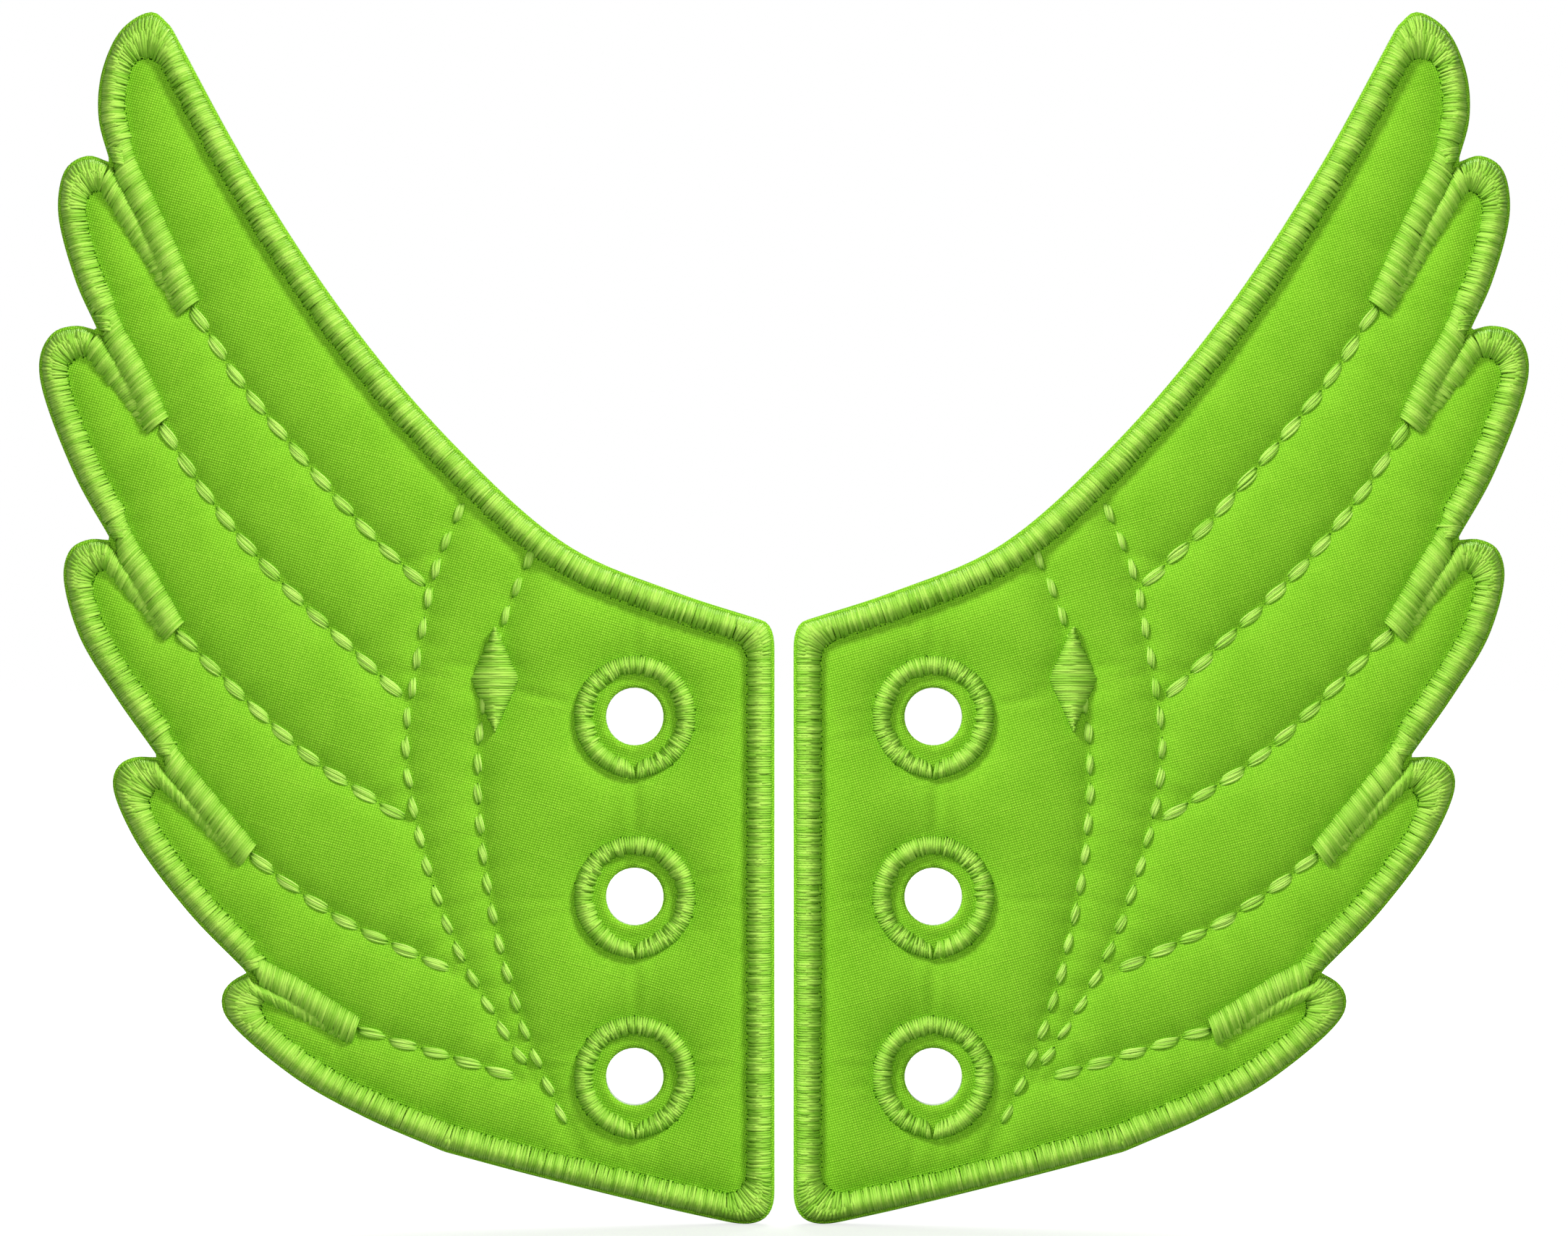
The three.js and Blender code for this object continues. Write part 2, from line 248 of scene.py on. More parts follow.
def corner(points, count):
    """A rounded corner: from the first point to the last, drawn towards the middle one."""
    a, b, c = (np.array(p, float) for p in points)
    t = np.linspace(0, 1, count)[:, None]
    return a * (1 - t) ** 2 + 2 * b * t * (1 - t) + c * t**2


def circle(centre, radius, count):
    angle = np.linspace(0, 2 * np.pi, count, endpoint=False)
    return np.array(centre) + radius * np.stack([np.cos(angle), np.sin(angle)], axis=1)


def unit(vectors):
    return vectors / np.maximum(np.linalg.norm(vectors, axis=-1, keepdims=True), 1e-9)


def tangents(path, closed=False):
    if closed:
        return unit(np.roll(path, -1, axis=0) - np.roll(path, 1, axis=0))
    return unit(np.gradient(path, axis=0))


def left_of(vectors):
    """The vectors turned a quarter turn to the left."""
    return np.stack([-vectors[:, 1], vectors[:, 0]], axis=1)


def distance(points, path, closed=False):
    """Each point's distance to a path, and how far along the path its nearest point is."""
    ends = np.vstack([path, path[:1]]) if closed else path
    a, b = ends[:-1], ends[1:]
    along = lengths(ends)
    best = np.full(len(points), np.inf)
    where = np.zeros(len(points))
    for i in range(len(a)):
        side = b[i] - a[i]
        t = np.clip((points - a[i]) @ side / max(side @ side, 1e-12), 0, 1)
        d = np.linalg.norm(points - (a[i] + t[:, None] * side), axis=1)
        nearer = d < best
        best[nearer] = d[nearer]
        where[nearer] = along[i] + (t * np.linalg.norm(side))[nearer]
    return best, where


def inside(points, loop):
    """Which of the points lie inside a loop."""
    x, y = points[:, 0], points[:, 1]
    crossings = np.zeros(len(points), bool)
    for (ax, ay), (bx, by) in zip(loop, np.roll(loop, -1, axis=0)):
        if ay != by:
            crossings ^= ((ay > y) != (by > y)) & (x < (bx - ax) * (y - ay) / (by - ay) + ax)
    return crossings


def nearest_finder(points):
    """A search tree that finds the nearest of some flat points."""
    tree = kdtree.KDTree(len(points))
    for i, p in enumerate(points):
        tree.insert((p[0], p[1], 0), i)
    tree.balance()
    return tree


# ======== The pattern, worked out once ========
def draw_outline(step):
    """The wing's outline as a closed loop, with the wing on its left."""
    parts = [smooth(LEADING_EDGE, step)]
    parts += [smooth(feather, step) for feather in FEATHERS]
    parts += [smooth(BOTTOM_EDGE, step), corner(BOTTOM_CORNER, 12)]
    parts += [resample(np.array([BOTTOM_CORNER[-1], TOP_CORNER[0]]), step), corner(TOP_CORNER, 10)]
    return np.vstack([part[:-1] for part in parts])[::-1]


RAISE = -draw_outline(OUTLINE_STEP)[:, 1].min()  # the CAD model's lowest point is at height 0


def raised(points):
    return np.array(points, float) + [0, RAISE]


outline = raised(draw_outline(OUTLINE_STEP))
notches = raised([feather[0] for feather in FEATHERS[1:]])
inner_line = smooth(raised(INNER_LINE), OUTLINE_STEP)
outer_line = smooth(raised(OUTER_LINE), OUTLINE_STEP)
feather_lines = [smooth(raised(line), OUTLINE_STEP) for line in FEATHER_LINES]


def draw_divider(feather, line):
    """A divider's path: it carries on from the middle of the upper feather's edging."""
    edge = smooth(raised(feather), DRAW_STEP)[:-DIVIDER_LEAD]
    ahead = tangents(edge)[-1]
    lead_in = edge[-1] + EDGING_END / 2 * np.array([ahead[1], -ahead[0]])
    return smooth(np.vstack([lead_in, raised(line)]), DRAW_STEP)


dividers = [draw_divider(feather, line) for feather, line in zip(FEATHERS, DIVIDERS)]
motif_centre = raised(MOTIF_CENTRE)


def ring_centre(name):
    """The centre of one of the right wing's eyelet rings, on the pattern."""
    low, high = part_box("right_eyelet_ring_" + name)
    return np.array([(low.x + high.x) / 2, (low.z + high.z) / 2]) / MM


ring_centres = [ring_centre(name) for name in RINGS]


def lozenge_distance(points):
    """How far outside the motif's lozenge each point is; negative inside."""
    reach = np.abs(points - motif_centre) / [MOTIF_HALF_WIDTH, MOTIF_HALF_HEIGHT]
    return (reach.sum(axis=1) - 1) * MOTIF_HALF_WIDTH * MOTIF_SLOPE


def ring_radius(points):
    """Each point's distance from the nearest lace hole's centre."""
    return np.min([np.linalg.norm(points - c, axis=1) for c in ring_centres], axis=0)


def moved_in(depth, slack, step):
    """The outline moved in, without the stray loops that form at its notches."""
    loop = outline + depth * left_of(tangents(outline, closed=True))
    loop = loop[distance(loop, outline, closed=True)[0] > depth - slack]
    return resample(np.vstack([loop, loop[:1]]), step)[:-1]


edging_core = moved_in(EDGING_END + INNER_ROUND, 0.03, CORE_STEP)


def edging_reach(points):
    """How far inside the edging's inner side each point is; negative on the edging."""
    past = distance(points, edging_core, closed=True)[0]
    deep = distance(points, outline, closed=True)[0] > EDGING_END + INNER_ROUND
    return INNER_ROUND + np.where(deep, past, -past)


def edging_foot(line, inset):
    """For each point of a line near the outline, the point facing it on the edging's inner side."""
    tree = nearest_finder(edging_core)
    nearest = edging_core[[tree.find((p[0], p[1], 0))[1] for p in line]]
    return nearest + (INNER_ROUND - inset) * unit(line - nearest)


def draw_fork(feather, line):
    """The inner side of a feather's edging where it turns back beside the divider, from the feather's tip."""
    tip = smooth(raised(feather), DRAW_STEP)
    start = edging_foot(at(tip, np.array([FORK_START])), 0)[0]
    end = line[-1] + FORK_WIDTH * left_of(tangents(line))[-1] - FORK_SHORT * tangents(line)[-1]
    return resample(np.array([start, end]), DRAW_STEP)


forks = [draw_fork(feather, line) for feather, line in zip(FEATHERS[1:], dividers)]


def fork_rail(line, notch):
    """Where the turned-back edging's stitches start: from the notch on, along the divider's lower side."""
    share = np.linspace(0, 1, len(line))[:, None]
    rail = line + left_of(tangents(line)) * (EDGING_END / 2 * (1 - share) + FORK_ROOT * share)
    first = np.linalg.norm(rail - notch, axis=1).argmin()
    return rail[first + 2:]


def fork_distance(points):
    """Each point's distance from the nearest turned-back edging."""
    best = np.full(len(points), np.inf)
    for line, fork in zip(dividers, forks):
        loop = np.vstack([line, fork[::-1]])
        reach = distance(points, loop, closed=True)[0]
        best = np.minimum(best, np.where(inside(points, loop), 0, reach))
    return best


def stitch_distance(points):
    """Each point's distance from the nearest stitching that holds the cover down."""
    reaches = [edging_reach(points) - HELD_MARGIN]
    reaches.append(ring_radius(points) - RING_OUTER + HELD_MARGIN)
    reaches.append(lozenge_distance(points))
    reaches.append(fork_distance(points) - HELD_MARGIN)
    for line in [inner_line, outer_line] + feather_lines:
        reaches.append(distance(points, line)[0] - LINE_MARGIN)
    for line in dividers:
        reaches.append(distance(points, line)[0] - DIVIDER_WIDTH[1] / 2)
    return np.maximum(np.min(reaches, axis=0), 0)


def sewn_height(points):
    """The held cover's height: level, sloping to the cut edge, with a lip round each lace hole."""
    share = np.clip(distance(points, outline, closed=True)[0] / EDGING_END, 0, 1)
    lip = np.exp(-(((ring_radius(points) - HOLE_RADIUS - LIP_MIDDLE) / LIP_SPREAD) ** 2))
    return CUT_EDGE + (SEWN - CUT_EDGE) * share + HOLE_LIP * lip


def swell(reach):
    """The pillow profile of a quilted channel, from 0 at the stitching to 1 at full height."""
    share = np.clip(reach / SWELL_REACH, 0, 1)
    return (1 - (1 - share) ** 2.4) ** 0.8


# ======== Flat cloth, cut to the pattern ========
def cut_cloth(spacing, inset):
    """Points and triangles that fill the wing inside its outline, round the lace holes."""
    edge = moved_in(inset, 0.02, spacing)
    hole_count = max(24, int(2 * np.pi * HOLE_RADIUS / spacing))
    ring_count = int(2 * np.pi * RING_OUTER / spacing)
    loops = [edge] + [circle(c, HOLE_RADIUS, hole_count) for c in ring_centres]
    along = [resample(line, spacing) for line in [inner_line, outer_line] + feather_lines]
    along.append(edging_foot(outline, HELD_MARGIN))
    along += [circle(c, RING_OUTER - HELD_MARGIN, ring_count) for c in ring_centres]
    fixed = thinned(np.vstack(loops + along), spacing * 0.45)
    tree = nearest_finder(fixed)
    rows = np.arange(-1, GRID_HEIGHT, spacing * 0.866)
    columns = np.arange(0, GRID_WIDTH, spacing)
    grid = np.array([(x + (i % 2) * spacing / 2, y) for i, y in enumerate(rows) for x in columns])
    grid = grid[inside(grid, edge) & (ring_radius(grid) > HOLE_RADIUS)]
    free = [p for p in grid if tree.find((p[0], p[1], 0))[2] > spacing * 0.6]
    points = np.vstack([fixed, free])
    sides, first = [], 0
    for loop in loops:
        n = len(loop)
        sides += [(first + i, first + (i + 1) % n) for i in range(n)]
        first += n
    found = geometry.delaunay_2d_cdt([Vector(p) for p in points], sides, [], 0, 1e-5)
    points = np.array([tuple(p) for p in found[0]])
    triangles = np.array(found[2])
    middles = points[triangles].mean(axis=1)
    kept = inside(middles, edge)
    for hole in loops[1:]:
        kept &= ~inside(middles, hole)
    triangles = triangles[kept]
    a, b, c = (points[triangles[:, k]] for k in range(3))
    turned = np.cross(b - a, c - a) < 0
    triangles[turned] = triangles[turned][:, ::-1]
    return points, triangles


def thinned(points, least):
    """The points without any that come closer than the least distance to an earlier one."""
    kept = []
    taken = {}
    for p in points:
        column, row = int(p[0] // least), int(p[1] // least)
        cells = [(column + i, row + j) for i in (-1, 0, 1) for j in (-1, 0, 1)]
        near = [q for cell in cells for q in taken.get(cell, [])]
        if all((p[0] - q[0]) ** 2 + (p[1] - q[1]) ** 2 > least**2 for q in near):
            taken.setdefault((column, row), []).append(p)
            kept.append(p)
    return np.array(kept)


def boundary(triangles):
    """The directed sides that only one triangle has."""
    sides = np.vstack([triangles[:, [0, 1]], triangles[:, [1, 2]], triangles[:, [2, 0]]])
    have = {tuple(s) for s in sides.tolist()}
    return np.array([s for s in sides.tolist() if (s[1], s[0]) not in have])


# ======== Meshes ========
def add_piece(name, points, faces, side, material, smooth_faces=None, marks=None, pattern=None):
    """A mesh from pattern points (u, v, h); side is 1 for the right wing and -1 for the left one."""
    co = np.stack([side * points[:, 0], -points[:, 2], points[:, 1]], axis=1) * MM
    faces = [list(f) if side > 0 else list(f)[::-1] for f in faces]
    mesh = bpy.data.meshes.new(name)
    mesh.from_pydata(co.tolist(), [], faces)
    if smooth_faces is None:
        smooth_faces = np.ones(len(faces), bool)
    mesh.polygons.foreach_set("use_smooth", smooth_faces)
    for mark, values in (marks or {}).items():
        mesh.attributes.new(mark, "FLOAT", "POINT").data.foreach_set("value", values.astype(np.float32))
    if pattern is not None:
        layer = mesh.uv_layers.new(name="pattern")
        corners = np.zeros(len(mesh.loops), np.int32)
        mesh.loops.foreach_get("vertex_index", corners)
        layer.data.foreach_set("uv", pattern[corners].astype(np.float32).ravel())
    mesh.materials.append(material)
    piece = bpy.data.objects.new(name, mesh)
    bpy.context.scene.collection.objects.link(piece)
    return piece


def plate(name, points, triangles, top, bottom, side, material):
    """A closed sheet between two surfaces, which keeps the flat cloth's pattern."""
    n = len(points)
    solid = np.vstack([top, bottom])
    sides = boundary(triangles)
    faces = triangles.tolist() + (triangles[:, ::-1] + n).tolist()
    faces += [[a, a + n, b + n, b] for a, b in sides.tolist()]
    is_smooth = np.ones(len(faces), bool)
    is_smooth[-len(sides):] = False
    pattern = np.vstack([points, points])
    return add_piece(name, solid, faces, side, material, is_smooth, pattern=pattern)


def strands(paths, widths, depths, sides):
    """Threads as closed tubes: paths is (threads, points, 3), the others are (threads, points)."""
    count, steps, _ = paths.shape
    ahead = unit(np.gradient(paths, axis=1))
    out = np.broadcast_to(np.array([0.0, 0.0, 1.0]), ahead.shape)
    across = unit(np.cross(ahead, out))
    up = np.cross(across, ahead)
    angle = np.pi / 2 + np.arange(sides) * 2 * np.pi / sides
    ring = (
        across[:, :, None] * np.cos(angle)[None, None, :, None] * widths[:, :, None, None] / 2
        + up[:, :, None] * np.sin(angle)[None, None, :, None] * depths[:, :, None, None] / 2
    )
    points = (paths[:, :, None] + ring).reshape(-1, 3)
    base = np.arange(count)[:, None, None] * steps * sides + np.arange(steps - 1)[None, :, None] * sides
    k = np.arange(sides)[None, None, :]
    following = (k + 1) % sides
    tube = np.stack([base + k, base + following, base + sides + following, base + sides + k], axis=-1)
    first = np.arange(count)[:, None] * steps * sides
    start_cap = first + np.arange(sides)[::-1][None, :]
    end_cap = first + (steps - 1) * sides + np.arange(sides)[None, :]
    faces = tube.reshape(-1, 4).tolist() + start_cap.tolist() + end_cap.tolist()
    return points, faces


def thread_piece(name, runs, side, material):
    """One piece from several runs of threads, each (paths, widths, depths, tints)."""
    all_points, all_faces, tint, along, first = [], [], [], [], 0
    for paths, widths, depths, tints in runs:
        points, faces = strands(paths, widths, depths, STRAND_SIDES)
        count, steps, _ = paths.shape
        all_points.append(points)
        all_faces += [[i + first for i in f] for f in faces]
        tint.append(np.repeat(tints, steps * STRAND_SIDES))
        along.append(np.tile(np.repeat(np.linspace(0, 1, steps), STRAND_SIDES), count))
        first += len(points)
    marks = {"tint": np.concatenate(tint), "along": np.concatenate(along)}
    return add_piece(name, np.vstack(all_points), all_faces, side, material, marks=marks)


def satin(starts, ends, heights, rng, ragged=0.12, lean=0.04, peak=0.5):
    """Strands laid side by side from starts to ends over a rounded bed.

    The heights are (start, crest, end). The peak is where the crest lies: 0 is the start and 1 the end.
    """
    count = len(starts)
    reach = unit(ends - starts)
    ends = ends + left_of(reach) * rng.normal(0, lean, (count, 1))
    starts = starts - reach * rng.uniform(0, ragged, (count, 1))
    ends = ends + reach * np.clip(rng.normal(0, ragged, (count, 1)), -MOST_RAGGED, MOST_RAGGED)
    share = 0.5 - 0.5 * np.cos(np.linspace(0, np.pi, STRAND_STEPS))
    flat = starts[:, None] + (ends - starts)[:, None] * share[None, :, None]
    low, crest, high = heights
    peaks = np.clip(peak + rng.normal(0, PEAK_WANDER, (count, 1)), 0.2, 0.7)
    rising = low + (crest - low) * np.clip(1 - ((peaks - share) / peaks) ** 2, 0, 1) ** 0.8
    falling = high + (crest - high) * np.clip(1 - ((share - peaks) / (1 - peaks)) ** 2, 0, 1)
    bed = np.where(share < peaks, rising, falling)
    lift = bed + rng.normal(0, UNEVEN_LIFT, (count, 1)) * np.sin(np.pi * share)[None, :]
    paths = np.concatenate([flat, lift[:, :, None]], axis=2)
    thick = rng.uniform(0.85, 1.15, (count, 1)) * (0.6 + 0.4 * np.sin(np.pi * share) ** 0.5)[None, :]
    return paths, STRAND_WIDTH * thick, STRAND_WIDTH * STRAND_DEPTH * thick, rng.uniform(0, 1, count)


def flipped(run):
    """The same threads on the back."""
    paths, widths, depths, tints = run
    return paths * [1, 1, -1], widths, depths, tints


# ======== Stitching, as runs of strands ========
def edging_rails():
    """Where each edging stitch starts, near the cut edge, and where it ends, on the edging's inner side."""
    line = resample(np.vstack([outline, outline[:1]]), SATIN_PITCH)[:-1]
    ends = edging_foot(line, 0)
    for feather, fork in zip(FEATHERS[1:], forks):
        reach, along = distance(line, smooth(raised(feather), DRAW_STEP))
        ends[(reach < 0.1) & (along > 0.01) & (along < FORK_START)] = fork[0]
    starts = line + EDGING_START * unit(ends - line)
    return starts, ends


def edging_runs(rng, crest):
    """The satin all round the wing, close to its cut edge."""
    starts, ends = edging_rails()
    crowded = np.linalg.norm(np.roll(ends, -1, axis=0) - ends, axis=1) < SATIN_PITCH * CROWDED
    short = crowded & (np.arange(len(starts)) % 2 == 0)
    ends = np.where(short[:, None], starts + (ends - starts) * SHORT_STITCH, ends)
    return [satin(starts, ends, (CUT_EDGE, crest, SEWN - 0.15), rng)]


def ring_runs(centre, rng, crest):
    """A satin ring that starts and ends in a small V at its foot."""
    count = int(2 * np.pi * (RING_INNER + RING_OUTER) / 2 / SATIN_PITCH)
    turn = np.linspace(0, 1, count, endpoint=False)
    angle = -np.pi / 2 + 2 * np.pi * turn
    lean = RING_LEAN * np.exp(-turn / LEAN_REACH) - RING_LEAN * np.exp(-(1 - turn) / LEAN_REACH)
    foot = np.exp(-turn / FOOT_REACH) + np.exp(-(1 - turn) / FOOT_REACH)
    inward = np.stack([np.cos(angle + lean), np.sin(angle + lean)], axis=1)
    outward = np.stack([np.cos(angle), np.sin(angle)], axis=1)
    inner = centre + (RING_INNER + RING_FOOT[0] * foot)[:, None] * inward
    outer = centre + (RING_OUTER + RING_FOOT[1] * foot)[:, None] * outward
    return [satin(outer, inner, (SEWN, crest, SEWN - 0.05), rng, ragged=0.14)]


def fork_run(line, notch, fork, rng, crest):
    """The lower feather's edging, turned back beside a divider and flatter towards its end."""
    rail = fork_rail(line, notch)
    where = np.linspace(0, 1, int(lengths(rail)[-1] / SATIN_PITCH))
    starts, ends = at(rail, where * lengths(rail)[-1]), at(fork, where * lengths(fork)[-1])
    least = SEWN + FORK_LEAST
    crests = least + (crest - least) * (1 - where[:, None]) ** 1.6
    return satin(starts, ends, (SEWN + 0.2, crests, SEWN - 0.1), rng, peak=0.4)


def bar_run(line, rng, crest):
    """A divider's own satin bar, widening on its lower side to meet the turned-back edging."""
    path = resample(line, SATIN_PITCH)
    share = np.linspace(0, 1, len(path))[:, None]
    half = (DIVIDER_WIDTH[0] * (1 - share) + DIVIDER_WIDTH[1] * share) / 2
    room = distance(path, outline, closed=True)[0][:, None] - EDGING_START
    across = left_of(tangents(path))
    lean = tangents(path) * SATIN_SLANT
    lower = np.minimum(half + (FORK_WIDTH - half) * share**0.8, room)
    starts, ends = path - across * half - lean, path + across * lower + lean
    return satin(starts, ends, (SEWN - 0.05, crest, SEWN), rng, peak=0.5 - 0.1 * share)


def divider_runs(line, notch, fork, rng, crest):
    """A satin bar from its notch to a blunt end, which the lower feather's edging runs into from below."""
    return [fork_run(line, notch, fork, rng, crest), bar_run(line, rng, crest)]


def motif_runs(rng, crest):
    """A plain lozenge of level satin strands."""
    rows = np.arange(-MOTIF_HALF_HEIGHT + 0.2, MOTIF_HALF_HEIGHT, SATIN_PITCH)
    half = MOTIF_HALF_WIDTH * (1 - np.abs(rows) / MOTIF_HALF_HEIGHT)
    middle = motif_centre + np.column_stack([0 * rows, rows])
    reach = np.column_stack([half, 0 * rows])
    return [satin(middle - reach, middle + reach, (SEWN, crest, SEWN), rng, ragged=0.08)]


def bundle_starts(line, stitch):
    """How far along a quilted line each of its bundles starts."""
    return np.arange(FIRST_STITCH, lengths(line)[-1] - stitch.length, stitch.pitch)


def quilting_runs(line, stitch, rng, crest):
    """Bean stitches: a spindle-shaped bundle of fine strands, then a short dip, again and again."""
    firsts = bundle_starts(line, stitch)
    share = np.linspace(0, 1, STRAND_STEPS)
    arch = np.sin(np.pi * share)
    runs = []
    for offset in np.linspace(-1, 1, BUNDLE_STRANDS):
        late = rng.uniform(-BUNDLE_LAG, BUNDLE_LAG, (len(firsts), 1)) + BUNDLE_LAG * offset
        where = firsts[:, None] + share[None, :] * stitch.length + late
        fullness = BUNDLE_WAIST + (1 - BUNDLE_WAIST) * arch
        twist = stitch.spread * offset * fullness + BUNDLE_TWIST * np.cos(np.pi * share)
        top = crest - 0.08 * abs(offset)
        runs.append(strand_set(line, where, twist, SEWN - NEEDLE_PULL, top, arch**0.6, stitch.strand, rng))
    return runs


def strand_set(line, where, offset, low, crest, arch, width, rng):
    """Strands that follow a line at the given lengths along it, offset sideways and arched."""
    count, steps = where.shape
    points = at(line, where.ravel())
    across = left_of(unit(at(line, where.ravel() + 0.2) - at(line, where.ravel() - 0.2)))
    sideways = np.broadcast_to(np.broadcast_to(offset, (steps,)), where.shape).ravel()
    points = points + across * sideways[:, None]
    points = points + np.repeat(rng.normal(0, 0.03, (count, 2)), steps, axis=0)
    height = low + (crest - low) * arch[None, :] * rng.uniform(0.9, 1.1, (count, 1))
    paths = np.concatenate([points.reshape(count, steps, 2), height[:, :, None]], axis=2)
    thick = rng.uniform(0.9, 1.1, (count, 1)) * (0.7 + 0.3 * arch)[None, :]
    return paths, width * thick, width * 0.85 * thick, rng.uniform(0, 1, count)


panel_quilting = [(line, PANEL_STITCH) for line in (inner_line, outer_line)]
feather_quilting = [(line[:-1], FEATHER_STITCH) for line in feather_lines]


def needle_hole_shades(wanted, points, heights):
    """Painted shade of the needle holes: small dark plugs sunk into the cover where the needle went through,
    closed and six-sided.
    """
    tree = nearest_finder(points)
    height = np.array([heights[tree.find((p[0], p[1], 0))[1]] for p in wanted])
    ring = circle((0, 0), NEEDLE_RADIUS, 6)
    top = np.column_stack([(wanted[:, None] + ring).reshape(-1, 2), np.repeat(height + NEEDLE_PROUD, 6)])
    bottom = top - [0, 0, NEEDLE_DEPTH]
    count = len(wanted)
    faces = []
    for i in range(count):
        a, b = 6 * i, 6 * (count + i)
        faces += [list(range(a, a + 6)), list(range(b + 5, b - 1, -1))]
        faces += [[a + k, b + k, b + (k + 1) % 6, a + (k + 1) % 6] for k in range(6)]
    return np.vstack([top, bottom]), faces


def hole_places(rng):
    """Along the edging's inner side, round the rings and at the ends of the quilted stitches."""
    _, edging_ends = edging_rails()
    places = [edging_ends[::2] + rng.normal(0, 0.08, edging_ends[::2].shape)]
    for centre in ring_centres:
        places.append(circle(centre, RING_OUTER + 0.12, RING_HOLES))
    for line, stitch in panel_quilting + feather_quilting:
        firsts = bundle_starts(line, stitch)
        places += [at(line, firsts - NEEDLE_GAP), at(line, firsts + stitch.length + NEEDLE_GAP)]
    return np.vstack(places)


# ======== Materials ========
def node_tree(name):
    material = bpy.data.materials.new(name)
    material.use_nodes = True
    tree = material.node_tree
    return material, tree, tree.nodes["Principled BSDF"]


def value(tree, operation, *inputs, clamp=False):
    """A Math node; each input is a number or another node's output."""
    node = tree.nodes.new("ShaderNodeMath")
    node.operation = operation
    node.use_clamp = clamp
    for socket, source in zip(node.inputs, inputs):
        if isinstance(source, (int, float)):
            socket.default_value = source
        else:
            tree.links.new(source, socket)
    return node.outputs[0]


def mixed(tree, share, first, second):
    node = tree.nodes.new("ShaderNodeMix")
    node.data_type = "RGBA"
    tree.links.new(share, node.inputs["Factor"])
    for socket, source in ((node.inputs["A"], first), (node.inputs["B"], second)):
        if isinstance(source, tuple):
            socket.default_value = (*source, 1)
        else:
            tree.links.new(source, socket)
    return node.outputs["Result"]


def attribute(tree, name):
    node = tree.nodes.new("ShaderNodeAttribute")
    node.attribute_name = name
    return node.outputs["Fac"]


def bumped(tree, shader, height, depth, strength=1.0):
    """Gives a shader's surface the relief of a height, full strength being depth millimetres."""
    bump = tree.nodes.new("ShaderNodeBump")
    bump.inputs["Distance"].default_value = depth * MM
    bump.inputs["Strength"].default_value = strength
    tree.links.new(height, bump.inputs["Height"])
    tree.links.new(bump.outputs[0], shader.inputs["Normal"])


def noise(tree, scale, detail, vector=None):
    node = tree.nodes.new("ShaderNodeTexNoise")
    node.inputs["Scale"].default_value = scale
    node.inputs["Detail"].default_value = detail
    if vector is not None:
        tree.links.new(vector, node.inputs["Vector"])
    return node.outputs["Fac"]


def cloth_material(name, dark, light, weave=0.26, grid=5.1, heavy_reach=0.22, turn=-16.0):
    """Plain-weave ripstop: small squares of weave, with a heavier yarn every grid millimetres both ways."""
    material, tree, shader = node_tree(name)
    source = tree.nodes.new("ShaderNodeUVMap")
    source.uv_map = "pattern"
    turned = tree.nodes.new("ShaderNodeVectorRotate")
    turned.rotation_type = "Z_AXIS"
    turned.inputs["Angle"].default_value = math.radians(turn)
    tree.links.new(source.outputs[0], turned.inputs["Vector"])
    parts = tree.nodes.new("ShaderNodeSeparateXYZ")
    tree.links.new(turned.outputs[0], parts.inputs[0])
    yarn = {}
    for axis in ("X", "Y"):
        wave = value(tree, "SINE", value(tree, "MULTIPLY", parts.outputs[axis], math.pi / weave))
        wave = value(tree, "ABSOLUTE", wave)
        near = value(tree, "ABSOLUTE", value(tree, "WRAP", parts.outputs[axis], -grid / 2, grid / 2))
        heavy = value(tree, "SUBTRACT", 1.0, value(tree, "DIVIDE", near, heavy_reach), clamp=True)
        yarn[axis] = (wave, heavy)
    squares = value(tree, "MULTIPLY", yarn["X"][0], yarn["Y"][0])
    ripstop = value(tree, "MULTIPLY", value(tree, "MAXIMUM", yarn["X"][1], yarn["Y"][1]), squares)
    slub = noise(tree, 2.8, 3, source.outputs[0])
    height = value(tree, "ADD", squares, value(tree, "MULTIPLY", ripstop, 0.5))
    patchy = noise(tree, 0.22, 2, source.outputs[0])
    patches = value(tree, "ADD", value(tree, "MULTIPLY", patchy, 0.3), value(tree, "MULTIPLY", slub, 0.5))
    darker = value(tree, "SUBTRACT", patches, 0.15)
    tone = value(tree, "ADD", value(tree, "MULTIPLY", height, 0.75), darker, clamp=True)
    tree.links.new(mixed(tree, tone, dark, light), shader.inputs["Base Color"])
    bumped(tree, shader, height, 0.05, 0.9)
    shader.inputs["Roughness"].default_value = 0.55
    shader.inputs["Specular IOR Level"].default_value = 0.25
    shader.inputs["Specular Tint"].default_value = (*light, 1)
    return material


